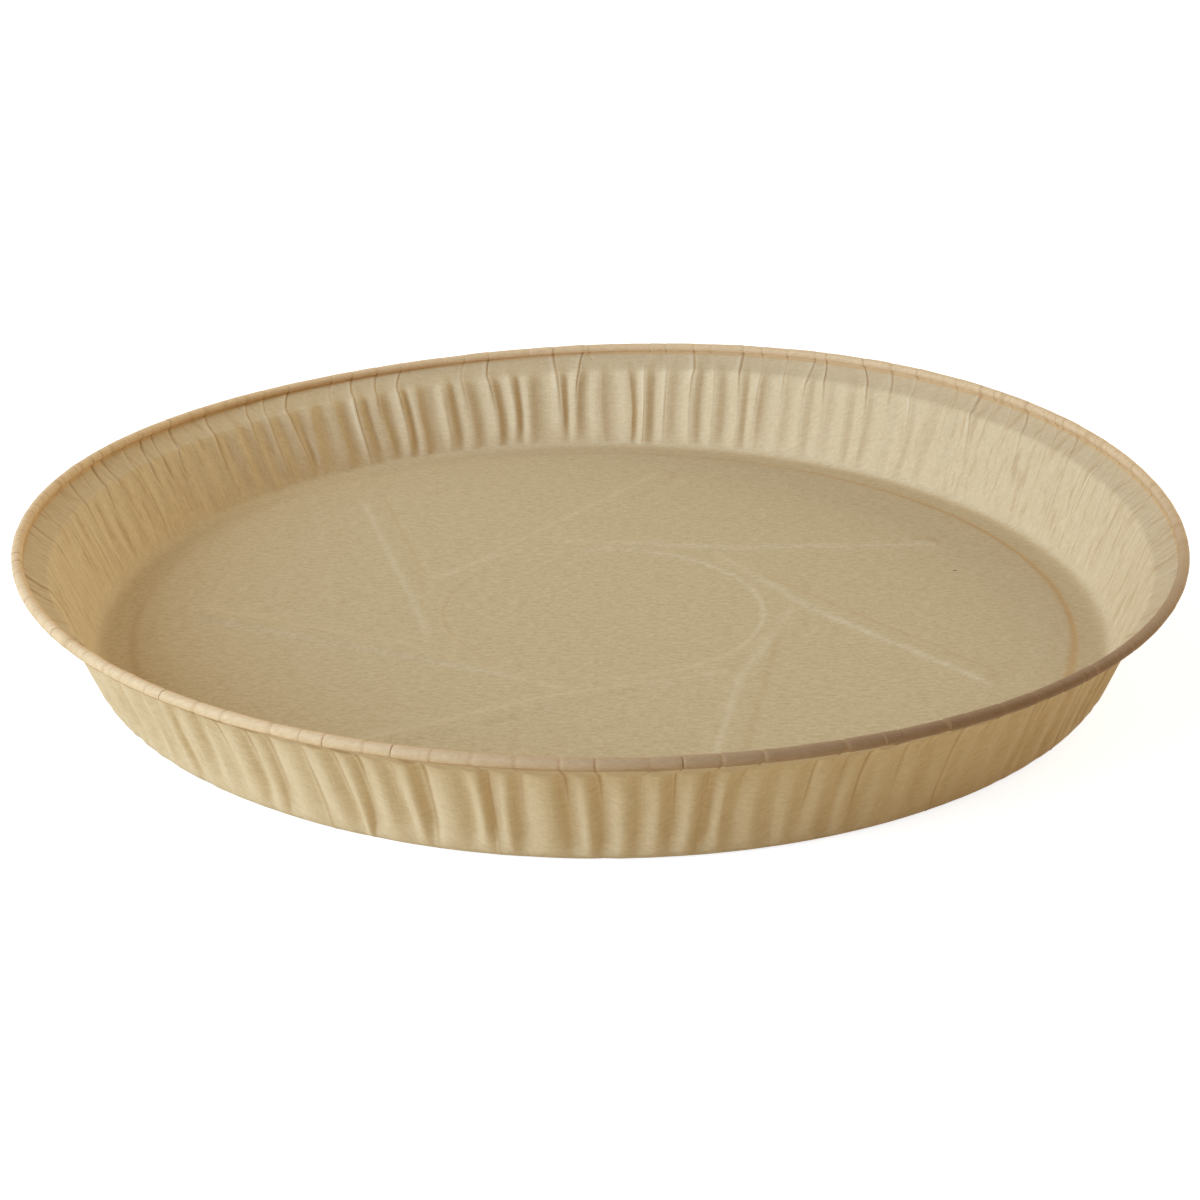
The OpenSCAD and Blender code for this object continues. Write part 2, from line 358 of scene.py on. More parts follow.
@dataclass
class Pleats:
    """The gathers of the board: where they lie, how deep they are, and which are creased.

    Each pleat has its own columns of points, close together at the crease, so a crease
    stays a clean line however it leans. Depths are millimetres, and widths are shares of
    the space between two creases.
    """

    count: int = 120
    seed: int = 11
    local: np.ndarray = field(default_factory=lambda: np.array(
        [0.0, 0.035, 0.075, 0.14, 0.24, 0.37, 0.5, 0.63, 0.76, 0.86, 0.925, 0.965]))
    gather_at: tuple[float, ...] = (0, 45, 90, 120, 150, 180, 225, 270, 315)
    gather_size: tuple[float, ...] = (0.12, 0.45, 0.95, 0.80, 0.22, 0.14, 0.75, 1.10, 0.42)
    jitter: float = 0.16
    wave_depth: float = 1.50
    wave_skew: float = 0.16
    crease_depth: float = 0.16
    crease_width: float = 0.05
    line_width: float = 0.035

    def __post_init__(self) -> None:
        """Draw every pleat's own numbers from the seed."""
        rng = np.random.default_rng(self.seed)
        n = self.count
        pitch = 2 * math.pi / n
        self.at = (np.arange(n) + rng.uniform(-self.jitter, self.jitter, n)) * pitch
        # The grain runs across the pan, so the board gathers most at its front and back.
        self.gather = np.interp(np.degrees(self.at), self.gather_at, self.gather_size, period=360.0)
        self.depth = rng.uniform(0.55, 1.20, n) * self.gather
        self.skew = rng.uniform(-0.75, 0.75, n)
        self.lean = rng.normal(0, 0.008, n)
        self.bow = rng.normal(0, 0.007, n)
        self.foot = rng.uniform(0.02, 0.14, n)
        self.peak = rng.uniform(0.30, 0.75, n)
        side = np.abs(np.cos(self.at))
        self.folded = (rng.uniform(0, 1, n) < 0.97 - 0.15 * side).astype(float)
        self.fold_size = self.folded * rng.uniform(0.60, 1.0, n)
        self.fold_end = np.where(rng.uniform(0, 1, n) < 0.2, rng.uniform(0.1, 0.4, n),
                                 rng.uniform(0.55, 1.0, n))
        toward = -np.clip(3.0 * np.cos(self.at), -1.0, 1.0)
        self.slant = toward * (0.013 + 0.015 * side) + rng.normal(0, 0.008, n)
        self.step = rng.uniform(0.14, 0.36, n) * self.folded * rng.choice([-1, 1], n)

    @property
    def columns(self) -> int:
        """Number of points in a ring."""
        return self.count * self.local.size

    def spread(self, values: np.ndarray) -> tuple[np.ndarray, np.ndarray, np.ndarray]:
        """Values of the crease before and after each column, and the column's place between."""
        m = self.local.size
        before = np.repeat(values, m)
        after = np.repeat(np.roll(values, -1), m)
        return before, after, np.tile(self.local, self.count)

    def turns(self, way: float) -> np.ndarray:
        """Angles of a ring's columns at a share of the way up the wall and flange.

        A crease starts at its own angle at the shoulder, leans and bows down the wall,
        and slants across the flange.

        Args:
            way: 0 at the floor, 1 at the shoulder, 2 at the groove.

        Returns:
            Angles in radians.
        """
        down = min(way, 1.0)
        line = self.at + self.lean * (1 - down) + self.bow * math.sin(math.pi * down)
        line = line - self.slant * max((way - 0.72) / 1.28, 0.0) ** 1.5
        before, after, u = self.spread(line)
        after = np.where(after < before - math.pi, after + 2 * math.pi, after)
        return before + (after - before) * u

    def push(self, way: float) -> np.ndarray:
        """How far a ring's columns are pushed in towards the inside, in millimetres.

        A pleat is a skewed cosine wave between its creases, deep on the wall and gone at
        the floor. A fold adds a narrow groove along its crease and a step beside it.

        Args:
            way: 0 at the floor, 1 at the shoulder, 2 at the groove.

        Returns:
            Distances in millimetres.
        """
        rise = smooth(0.0, 1.0, (way - self.foot * 0.5) / (self.peak * 0.62))
        fade = 1 - 0.62 * smooth(0.80, 1.08, way) - 0.38 * smooth(1.0, 1.45, way)
        size = self.depth * rise * fade
        b, a, u = self.spread(size)
        before, after, _ = self.spread(self.skew)
        u = u + (before * (u < 0.5) + after * (u >= 0.5)) * np.sin(2 * math.pi * u) ** 2 * self.wave_skew
        wave = b * (1 + np.cos(2 * math.pi * u)) / 2 * (u < 0.5)
        wave = wave + a * (1 + np.cos(2 * math.pi * u)) / 2 * (u >= 0.5)
        total = self.wave_depth * wave
        sharp = self.fold_size * smooth(self.fold_end - 0.3, self.fold_end + 0.1, way)
        b, a, u = self.spread(sharp)
        width = self.crease_width
        total = total - self.crease_depth * (b * bell(u, width) + a * bell(1 - u, width))
        b, _, u = self.spread(self.step * smooth(0.55, 0.95, way))
        total = total + b * (1 - u) ** 3 * smooth(0.0, 0.05, u)
        return total

    def rub(self, way: float) -> np.ndarray:
        """Painted highlight: a pale ridge beside each fold line, on the flange and the top of the wall.
        """
        # Folds show less at the left and right ends, where the grain runs down the wall.
        front = 0.25 + 0.75 * np.abs(np.sin(self.at))
        b, _, u = self.spread(front * self.fold_size * smooth(self.fold_end, self.fold_end + 0.25, way))
        return b * bell(u - 0.10, 0.07)

    def fold(self, way: float) -> np.ndarray:
        """Strength of the fold line in each column, from 0 to 1, which the material paints as a dark line
        of shade.
        """
        sharp = self.fold_size * smooth(self.fold_end - 0.25, self.fold_end + 0.15, way)
        b, a, u = self.spread(sharp)
        return b * bell(u, self.line_width) + a * bell(1 - u, self.line_width)


@dataclass
class BoardPan:
    """The whole pan: one sheet of board from the middle of the floor to the rolled edge."""

    floor: FloorPressing = field(default_factory=FloorPressing)
    section: Section = field(default_factory=Section)
    pleats: Pleats = field(default_factory=Pleats)
    warp: Warp = field(default_factory=Warp)
    lap_size: float = 0.24
    nick_depth: float = 0.13

    def __post_init__(self) -> None:
        """Start the lists that collect rings and what each point knows of the sheet."""
        self.rings: list[np.ndarray] = []
        self.sheets: list[np.ndarray] = []
        self.folds: list[np.ndarray] = []
        self.highlights: list[np.ndarray] = []

    def _add(self, points: np.ndarray, run: np.ndarray | float, side: Side,
             fold: np.ndarray | float = 0.0, painted_highlight: np.ndarray | float = 0.0) -> None:
        """Keep a ring with its place on the flat sheet, its fold lines, painted as shade, and its painted
        highlights.

        Args:
            points: x, y, z rows in millimetres.
            run: Distance from the sheet's middle, along the board.
            side: Which face of the board.
            fold: Strength of the fold lines, painted as shade.
            painted_highlight: Share of painted highlight, pale beside the folds and along the floor's rib
                edges.
        """
        turn = np.arctan2(points[:, 1], points[:, 0])
        run = np.broadcast_to(run, turn.shape)
        self.rings.append(points)
        self.sheets.append(np.column_stack((run * np.cos(turn), run * np.sin(turn),
                                            np.full(turn.shape, float(side.value)))))
        self.folds.append(np.broadcast_to(fold, turn.shape).astype(float))
        self.highlights.append(np.broadcast_to(painted_highlight, turn.shape).astype(float))

    def _floor(self, side: Side) -> None:
        """Add the floor's rings, outwards on the upper side and inwards on the lower."""
        rings = self.floor.rings(side)
        for ring in rings if side is Side.UPPER else rings[::-1]:
            x, y = ring[:, 0], ring[:, 1]
            self._add(ring, np.hypot(x, y), side, painted_highlight=self.floor.painted_highlight(x, y))

    def _wall(self, side: Side) -> None:
        """Add bend, wall, shoulder and flange for one face of the board."""
        rows = self.section.stations()
        run = self.floor.floor_r + np.concatenate(
            ([0.0], np.cumsum(np.hypot(*np.diff(rows[:, :2], axis=0).T))))
        order = range(len(rows)) if side is Side.UPPER else range(len(rows) - 1, -1, -1)
        drop = 0.0 if side is Side.UPPER else self.section.board
        for i in order:
            r, z, slope, way = rows[i]
            off = drop - self.pleats.push(way)
            turn = self.pleats.turns(way)
            radius = r + off * math.sin(slope)
            points = np.column_stack((radius * np.cos(turn), radius * np.sin(turn),
                                      z - off * math.cos(slope)))
            # The fold lines carry painted shade, and the ridges beside them a painted highlight.
            self._add(points, run[i], side, self.pleats.fold(way), self.pleats.rub(way))
        self.flange_end = float(run[-1])

    def _bead(self) -> None:
        """Add the rolled edge and its hollow.

        The tube's radius wanders a little, steps at each lap and dips at each fold. Its
        folds slant more with every ring round the tube.
        """
        sec, pl = self.section, self.pleats
        turn = pl.turns(2.0)
        rng = np.random.default_rng(5)
        swell = 0.018 * wander(turn, rng, (20, 90)) + 0.02 * wander(turn, rng, (2, 9))
        front = 0.30 + 0.70 * np.abs(np.sin(pl.at))
        b, a, u = pl.spread(front * np.maximum(pl.fold_size, 0.5))
        nick = b * bell(u, pl.line_width) + a * bell(1 - u, pl.line_width)
        s, _, u = pl.spread(front * pl.step)
        lap = s * (1 - u) ** 2 * smooth(0.0, 0.05, u)
        slant = np.repeat(pl.slant, pl.local.size)
        fold = pl.fold(2.0)
        outer, hollow = sec.bead_angles()
        for i, angle in enumerate(outer):
            share = min(i / 2.0, 1.0)
            size = sec.bead_r + share * (self.lap_size * lap + swell - self.nick_depth * nick)
            around = turn - 0.03 * i * slant
            radius = sec.bead_at[0] + size * math.cos(angle)
            points = np.column_stack((radius * np.cos(around), radius * np.sin(around),
                                      sec.bead_at[1] + size * math.sin(angle)))
            # The fold lines are painted as shade, darkest where they meet the groove.
            line = fold * (2.4 if i < 2 else 0.7)
            self._add(points, self.flange_end + 0.3 + 0.55 * i, Side.UPPER, line)
        inner = sec.bead_r - sec.board
        for j, angle in enumerate(hollow):
            radius = sec.bead_at[0] + inner * math.cos(angle)
            points = np.column_stack((radius * np.cos(turn), radius * np.sin(turn),
                                      np.full(turn.shape, sec.bead_at[1] + inner * math.sin(angle))))
            self._add(points, self.flange_end + 7.0 - 1.5 * j, Side.LOWER)

    def _faces(self, first: np.ndarray) -> tuple[list[np.ndarray], list[np.ndarray]]:
        """Faces between neighbouring rings.

        Rings of one size are joined by squares. Between rings of two sizes, each step of
        the finer ring is joined to the point of the coarser one that it faces, and a
        triangle fills in where that point changes.

        Args:
            first: Number of each ring's first point.

        Returns:
            Lists of square and triangle arrays.
        """
        quads: list[np.ndarray] = []
        tris: list[np.ndarray] = []
        for j in range(len(self.rings) - 1):
            n, m = len(self.rings[j]), len(self.rings[j + 1])
            s, t = first[j], first[j + 1]
            if n == m:
                k = np.arange(n)
                k1 = (k + 1) % n
                quads.append(np.column_stack((s + k, t + k, t + k1, s + k1)))
                continue
            fine_first = n > m
            fine = self.rings[j] if fine_first else self.rings[j + 1]
            coarse = self.rings[j + 1] if fine_first else self.rings[j]
            fa = np.unwrap(np.arctan2(fine[:, 1], fine[:, 0]))
            ca = np.unwrap(np.arctan2(coarse[:, 1], coarse[:, 0]))
            middle = (fa + np.append(fa[1:], fa[0] + 2 * math.pi)) / 2
            wide = np.concatenate((ca - 2 * math.pi, ca, ca + 2 * math.pi))
            base = np.mod(middle - ca[0], 2 * math.pi) + ca[0]
            face = np.searchsorted((wide[1:] + wide[:-1]) / 2, base) % len(coarse)
            k = np.arange(len(fine))
            k1 = (k + 1) % len(fine)
            prev = np.roll(face, 1)
            change = prev != face
            if fine_first:
                tris.append(np.column_stack((s + k, t + face, s + k1)))
                tris.append(np.column_stack((s + k, t + prev, t + face))[change])
            else:
                tris.append(np.column_stack((s + face, t + k, t + k1)))
                tris.append(np.column_stack((s + prev, t + k, s + face))[change])
        return quads, tris

    def build(self) -> bpy.types.Object:
        """Build the closed mesh with its sheet attribute, and the fold and highlight attributes that the
        material paints as shade and highlight.

        Returns:
            The pan's object, at the origin.
        """
        self._floor(Side.UPPER)
        self._wall(Side.UPPER)
        self._bead()
        self._wall(Side.LOWER)
        self._floor(Side.LOWER)
        sizes = np.array([len(ring) for ring in self.rings])
        first = np.concatenate(([0], np.cumsum(sizes)[:-1]))
        points = np.vstack(self.rings)
        quads, tris = self._faces(first)
        top, bottom = len(points), len(points) + 1
        points = np.vstack((points, [0, 0, self.floor.board], [0, 0, 0]))
        k = np.arange(sizes[0])
        k1 = (k + 1) % sizes[0]
        tris.append(np.column_stack((np.full_like(k, top), k, k1)))
        tris.append(np.column_stack((np.full_like(k, bottom), first[-1] + k1, first[-1] + k)))
        points = self.warp.apply(points)
        points[:, 2] = np.maximum(points[:, 2], 0.0)
        points *= MM
        sheet = np.vstack(self.sheets + [np.array([[0, 0, 0], [0, 0, 1.0]])])
        # The fold mark is painted as shade along the fold lines, and the pale mark as painted highlight.
        marks = {"fold": np.concatenate(self.folds + [np.zeros(2)]),
                 "painted_highlight": np.concatenate(self.highlights + [np.zeros(2)])}
        return make_mesh("board_pan", points, np.vstack(quads), np.vstack(tris), sheet, marks)


def make_mesh(name: str, points: np.ndarray, quads: np.ndarray, tris: np.ndarray,
              sheet: np.ndarray, marks: dict[str, np.ndarray]) -> bpy.types.Object:
    """Put arrays of points and faces into a smooth-shaded mesh object.

    Args:
        name: Name of the object.
        points: x, y, z rows in metres.
        quads: Rows of four point numbers.
        tris: Rows of three point numbers.
        sheet: Each point's place on the flat sheet, in millimetres, and its face.
        marks: Named numbers at each point, such as the strength of the fold lines.

    Returns:
        The new object, linked to the scene.
    """
    mesh = bpy.data.meshes.new(name)
    mesh.vertices.add(len(points))
    mesh.vertices.foreach_set("co", points.ravel())
    mesh.loops.add(quads.size + tris.size)
    mesh.loops.foreach_set("vertex_index", np.concatenate((quads.ravel(), tris.ravel())).astype(np.int32))
    starts = np.concatenate((np.arange(len(quads)) * 4, quads.size + np.arange(len(tris)) * 3))
    mesh.polygons.add(len(starts))
    mesh.polygons.foreach_set("loop_start", starts.astype(np.int32))
    mesh.update(calc_edges=True)
    mesh.polygons.foreach_set("use_smooth", np.ones(len(starts), dtype=bool))
    place = mesh.attributes.new("sheet", "FLOAT_VECTOR", "POINT")
    place.data.foreach_set("vector", sheet.astype(np.float32).ravel())
    for key, values in marks.items():
        mesh.attributes.new(key, "FLOAT", "POINT").data.foreach_set("value", values.astype(np.float32))
    mesh.validate()
    obj = bpy.data.objects.new(name, mesh)
    bpy.context.collection.objects.link(obj)
    log.info("%s: %d points, %d triangles", name, len(points), 2 * len(quads) + len(tris))
    return obj


class Wiring:
    """Short calls for placing and joining shader nodes in one node tree."""

    def __init__(self, tree: bpy.types.NodeTree) -> None:
        """Keep the tree that the calls work on."""
        self.tree = tree

    def node(self, kind: str, **settings: object) -> bpy.types.Node:
        """Add a node of a kind and set its properties."""
        made = self.tree.nodes.new(kind)
        for key, value in settings.items():
            setattr(made, key, value)
        return made

    def put(self, socket: bpy.types.NodeSocket, value: object) -> None:
        """Set a socket from a number, a colour or another node's output."""
        if isinstance(value, bpy.types.NodeSocket):
            self.tree.links.new(value, socket)
        else:
            socket.default_value = value

    def mark(self, name: str, output: str = "Fac") -> bpy.types.NodeSocket:
        """Read one of the mesh's own attributes."""
        return self.node("ShaderNodeAttribute", attribute_name=name).outputs[output]

    def math(self, how: str, a: object, b: object = 0.0, c: object = 0.0,
             clamp: bool = False) -> bpy.types.NodeSocket:
        """Combine numbers with a Math node and give its output."""
        made = self.node("ShaderNodeMath", operation=how, use_clamp=clamp)
        for socket, value in zip(made.inputs, (a, b, c)):
            self.put(socket, value)
        return made.outputs[0]

    def noise(self, vector: object, scale: float, detail: float = 2.0,
              rough: float = 0.5) -> bpy.types.NodeSocket:
        """Noise value on a vector."""
        made = self.node("ShaderNodeTexNoise")
        self.put(made.inputs["Vector"], vector)
        made.inputs["Scale"].default_value = scale
        made.inputs["Detail"].default_value = detail
        made.inputs["Roughness"].default_value = rough
        return made.outputs["Fac"]

    def stretch(self, vector: object, scale: tuple[float, float, float]) -> bpy.types.NodeSocket:
        """Vector times a scale on each axis."""
        made = self.node("ShaderNodeVectorMath", operation="MULTIPLY")
        self.put(made.inputs[0], vector)
        made.inputs[1].default_value = scale
        return made.outputs[0]

    def along(self, vector: object, axis: tuple[float, float, float]) -> bpy.types.NodeSocket:
        """Dot product of a vector and an axis."""
        made = self.node("ShaderNodeVectorMath", operation="DOT_PRODUCT")
        self.put(made.inputs[0], vector)
        made.inputs[1].default_value = axis
        return made.outputs["Value"]

    def line(self, value: object, centre: float, core: float, edge: float) -> bpy.types.NodeSocket:
        """Mask of 1 within core of a centre value, falling to 0 at edge."""
        off = self.math("ABSOLUTE", self.math("SUBTRACT", value, centre))
        return self.span(off, core, edge, 1.0, 0.0)

    def span(self, value: object, low: float, high: float, to_low: float = 0.0,
             to_high: float = 1.0) -> bpy.types.NodeSocket:
        """Clamped linear map of a value from one span to another."""
        made = self.node("ShaderNodeMapRange", clamp=True)
        for socket, part in zip(made.inputs, (value, low, high, to_low, to_high)):
            self.put(socket, part)
        return made.outputs["Result"]

    def mix(self, share: object, a: object, b: object, how: str = "MIX") -> bpy.types.NodeSocket:
        """Mix two colours."""
        made = self.node("ShaderNodeMix", data_type="RGBA", blend_type=how)
        self.put(made.inputs["Factor"], share)
        self.put(made.inputs[6], a)
        self.put(made.inputs[7], b)
        return made.outputs[2]


@dataclass(frozen=True)
class SheetPlace:
    """Sockets that say where a point lies on the flat sheet."""

    sheet: bpy.types.NodeSocket
    across: bpy.types.NodeSocket
    face: bpy.types.NodeSocket
    run: bpy.types.NodeSocket
    unit: bpy.types.NodeSocket

    @classmethod
    def read(cls, w: Wiring) -> "SheetPlace":
        """Split the sheet attribute into its parts.

        Args:
            w: Wiring of the material's tree.

        Returns:
            The sheet vector, its x, its face (0 upper, 1 lower), and the distance and
            direction from the sheet's middle.
        """
        sheet = w.mark("sheet", "Vector")
        flat = w.node("ShaderNodeSeparateXYZ")
        w.put(flat.inputs[0], sheet)
        plan = w.node("ShaderNodeCombineXYZ")
        w.put(plan.inputs[0], flat.outputs[0])
        w.put(plan.inputs[1], flat.outputs[1])
        reach = w.node("ShaderNodeVectorMath", operation="LENGTH")
        w.put(reach.inputs[0], plan.outputs[0])
        unit = w.node("ShaderNodeVectorMath", operation="NORMALIZE")
        w.put(unit.inputs[0], plan.outputs[0])
        return cls(sheet, flat.outputs[0], flat.outputs[2], reach.outputs["Value"], unit.outputs[0])

    def spokes(self, w: Wiring, squeeze: float) -> bpy.types.NodeSocket:
        """Vector for noise that makes streaks which run out from the middle.

        It is the place in millimetres round a circle as wide as the wall, and the run
        times a small share.

        Args:
            w: Wiring of the material's tree.
            squeeze: Share of the run that is kept, small for long streaks.

        Returns:
            The vector to read noise at.
        """
        place = w.node("ShaderNodeSeparateXYZ")
        w.put(place.inputs[0], w.stretch(self.unit, (113.0, 113.0, 0.0)))
        at = w.node("ShaderNodeCombineXYZ")
        w.put(at.inputs[0], place.outputs[0])
        w.put(at.inputs[1], place.outputs[1])
        w.put(at.inputs[2], w.math("MULTIPLY", self.run, squeeze))
        return at.outputs[0]


@dataclass(frozen=True)
class KraftFinish:
    """Uncoated kraft board: long fibres, soft mottling and dark specks, with painted shade in the folds
    and the groove and painted highlights beside the folds.

    Tints multiply the board's colour, and runs are millimetres from the sheet's middle.
    """

    base: Rgba = (0.550, 0.395, 0.212, 1.0)
    pale: Rgba = (0.660, 0.500, 0.300, 1.0)
    deep: Rgba = (0.370, 0.240, 0.105, 1.0)
    # Painted shade: the colour of the dark fold lines, also laid on the streaks at both ends.
    fold: Rgba = (0.430, 0.230, 0.085, 1.0)
    # Painted shade: the orange-brown colour along the groove under the rolled edge and along the floor's
    # crease ring.
    groove: Rgba = (0.620, 0.370, 0.150, 1.0)
    # Painted highlight: the pale colour beside the fold lines and along the floor's rib edges and disc
    # rim.
    highlight_colour: Rgba = (0.740, 0.590, 0.390, 1.0)
    speck: Rgba = (0.060, 0.040, 0.025, 1.0)
    # The wall is painted paler and the flange darker: partly the board's own tone, partly painted light
    # and shade fitted to the lamps. The rolled edge goes from a paler tone to brown toward the front
    # right: partly its own colour, partly painted shade on the side away from the light.
    wall_tone_and_light: Rgba = (1.20, 1.19, 1.20, 1.0)
    flange_tone_and_shade: Rgba = (0.87, 0.86, 0.86, 1.0)
    bead_tone_and_light: Rgba = (1.22, 1.14, 1.11, 1.0)
    bead_brown_and_shade: Rgba = (0.46, 0.35, 0.30, 1.0)
    brown_and_shade_side: tuple[float, float, float] = (0.62, -0.78, 0.0)
    roughness: float = 0.72
    specular: float = 0.30
    bump_strength: float = 0.55
    crease_run: float = 98.35
    groove_run: float = 126.6

    def fibre_group(self) -> bpy.types.ShaderNodeTree:
        """Node group for fibres on the flat sheet, long across the pan.

        Fibre is the mean of a coarse and a thin stretched noise, Cloud mixes a wide and a
        fine noise, and Speck marks small discs round some points of a cell pattern.

        Returns:
            A group with a Sheet input and Fibre, Cloud and Speck outputs.
        """
        tree = bpy.data.node_groups.new("kraft_fibre", "ShaderNodeTree")
        face = tree.interface
        face.new_socket("Sheet", in_out="INPUT", socket_type="NodeSocketVector")
        for name in ("Fibre", "Cloud", "Speck"):
            face.new_socket(name, in_out="OUTPUT", socket_type="NodeSocketFloat")
        w = Wiring(tree)
        start = w.node("NodeGroupInput")
        end = w.node("NodeGroupOutput")
        sheet = start.outputs["Sheet"]
        coarse = w.noise(w.stretch(sheet, (0.34, 1.0, 40.0)), 1.3, 5.0, 0.70)
        thin = w.noise(w.stretch(sheet, (0.7, 2.6, 40.0)), 1.5, 3.0, 0.7)
        fibre = w.math("ADD", w.math("MULTIPLY", coarse, 0.5), w.math("MULTIPLY", thin, 0.5))
        wide = w.noise(w.stretch(sheet, (0.8, 1.0, 40.0)), 0.22, 5.0, 0.62)
        fine = w.noise(w.stretch(sheet, (0.7, 1.0, 40.0)), 0.95, 2.0, 0.6)
        cloud = w.math("ADD", w.math("MULTIPLY", wide, 0.55), w.math("MULTIPLY", fine, 0.45))
        spots = w.node("ShaderNodeTexVoronoi", feature="F1")
        w.put(spots.inputs["Vector"], w.stretch(sheet, (0.45, 1.0, 40.0)))
        spots.inputs["Scale"].default_value = 0.055
        near = w.math("LESS_THAN", spots.outputs["Distance"], 0.022)
        kept = w.node("ShaderNodeSeparateColor")
        w.put(kept.inputs[0], spots.outputs["Color"])
        near = w.math("MULTIPLY", near, w.math("GREATER_THAN", kept.outputs[0], 0.55))
        w.put(end.inputs["Fibre"], fibre)
        w.put(end.inputs["Cloud"], cloud)
        w.put(end.inputs["Speck"], near)
        return tree

    def _board(self, w: Wiring, at: SheetPlace, fibres: bpy.types.Node) -> bpy.types.NodeSocket:
        """Colour of the bare board: mottled and fibred, with painted highlights on pale edges and painted
        shade along the floor's crease ring.
        """
        cloud, fibre = fibres.outputs["Cloud"], fibres.outputs["Fibre"]
        colour = w.mix(w.span(cloud, 0.30, 0.70, 0.25, 0.75), self.base, self.pale)
        grain = w.math("MULTIPLY", w.span(fibre, 0.40, 0.57, 0.55, 0.0),
                       w.span(at.run, 102.0, 107.0, 1.0, 0.60))
        colour = w.mix(grain, colour, self.deep)
        # On the floor the painted highlights are faint and broken up. Beside folds they are clearer.
        broken = w.math("MAXIMUM", w.span(cloud, 0.35, 0.65, 0.06, 0.27),
                        w.span(at.run, 104.0, 110.0, 0.0, 0.50))
        colour = w.mix(w.math("MULTIPLY", w.mark("painted_highlight"), broken), colour, self.highlight_colour)
        # Painted shade along the floor's crease ring: faint on the left, strongest on the right, where
        # the ring's outer slope faces away from the light.
        ring = w.line(at.run, self.crease_run, 0.15, 1.25)
        crease_shade_right = w.span(at.across, 0.0, 80.0, 0.06, 0.55)
        return w.mix(w.math("MULTIPLY", ring, crease_shade_right), colour, self.groove)

    def _regions(self, w: Wiring, at: SheetPlace,
                 colour: bpy.types.NodeSocket) -> bpy.types.NodeSocket:
        """Colour with the tints of wall, flange and rolled edge: wall painted paler, flange darker,
        rolled edge browner toward the front right, each partly own colour, partly painted light and
        shade.
        """
        edge = self.groove_run
        colour = w.mix(w.span(at.run, 102.5, 108.0), colour,
                       w.mix(1.0, colour, self.wall_tone_and_light, "MULTIPLY"))
        colour = w.mix(w.span(at.run, edge - 6.4, edge - 5.0), colour,
                       w.mix(1.0, colour, self.flange_tone_and_shade, "MULTIPLY"))
        brown_and_shade = w.math("POWER", w.span(w.along(at.unit, self.brown_and_shade_side), 0.40, 1.0), 1.5)
        tint = w.mix(brown_and_shade, self.bead_tone_and_light, self.bead_brown_and_shade)
        return w.mix(w.span(at.run, edge, edge + 0.5), colour,
                     w.mix(1.0, colour, tint, "MULTIPLY"))

    def _lines(self, w: Wiring, at: SheetPlace, speck: bpy.types.NodeSocket,
               colour: bpy.types.NodeSocket) -> bpy.types.NodeSocket:
        """Colour with painted shade along the groove and the fold lines, the specks, and streaks at both
        ends.
        """
        # Painted shade: an orange-brown line along the groove under the rolled edge, on the upper face
        # only.
        groove = w.line(at.run, self.groove_run, 0.14, 0.46)
        groove = w.math("MULTIPLY", groove, w.span(at.face, 0.0, 1.0, 0.80, 0.0))
        colour = w.mix(groove, colour, self.groove)
        # Painted shade: dark lines along the folds.
        colour = w.mix(w.math("MULTIPLY", w.mark("fold"), 0.58, clamp=True), colour, self.fold)
        colour = w.mix(w.math("MULTIPLY", speck, 0.7), colour, self.speck)
        ends = w.math("ABSOLUTE", w.along(at.unit, (1.0, 0.0, 0.0)))
        lined = w.math("MULTIPLY", w.span(ends, 0.55, 0.85), w.span(at.run, 105.0, 110.0))
        streak = w.noise(at.spokes(w, 0.16), 0.62, 3.0, 0.55)
        streak = w.span(streak, 0.36, 0.47, 0.34, 0.0)
        return w.mix(w.math("MULTIPLY", streak, lined), colour, self.fold)

    def _relief(self, w: Wiring, at: SheetPlace,
                fibre: bpy.types.NodeSocket) -> bpy.types.NodeSocket:
        """Height of fibres, and of the fine streaks where the board is gathered."""
        streak = w.noise(at.spokes(w, 0.10), 1.7, 3.0, 0.6)
        edge = self.groove_run
        gathered = w.math("MULTIPLY", w.span(at.run, 106.0, 116.0),
                          w.span(at.run, edge, edge + 1.0, 1.0, 0.25))
        fibre = w.math("MULTIPLY", fibre, w.span(at.run, 100.0, 106.0, 0.10, 0.018))
        return w.math("ADD", fibre, w.math("MULTIPLY", w.math("MULTIPLY", streak, gathered), 0.13))

    def build(self) -> bpy.types.Material:
        """Make the board's material.

        Returns:
            The finished material.
        """
        mat = bpy.data.materials.new("kraft_board")
        mat.use_nodes = True
        w = Wiring(mat.node_tree)
        mat.node_tree.nodes.clear()
        out = w.node("ShaderNodeOutputMaterial")
        skin = w.node("ShaderNodeBsdfPrincipled")
        w.put(out.inputs["Surface"], skin.outputs[0])
        at = SheetPlace.read(w)
        fibres = w.node("ShaderNodeGroup", node_tree=self.fibre_group())
        w.put(fibres.inputs["Sheet"], at.sheet)
        colour = self._board(w, at, fibres)
        colour = self._regions(w, at, colour)
        colour = self._lines(w, at, fibres.outputs["Speck"], colour)
        w.put(skin.inputs["Base Color"], colour)
        skin.inputs["Roughness"].default_value = self.roughness
        skin.inputs["Specular IOR Level"].default_value = self.specular
        bump = w.node("ShaderNodeBump")
        bump.inputs["Strength"].default_value = self.bump_strength
        bump.inputs["Distance"].default_value = MM
        w.put(bump.inputs["Height"], self._relief(w, at, fibres.outputs["Fibre"]))
        w.put(skin.inputs["Normal"], bump.outputs["Normal"])
        return mat


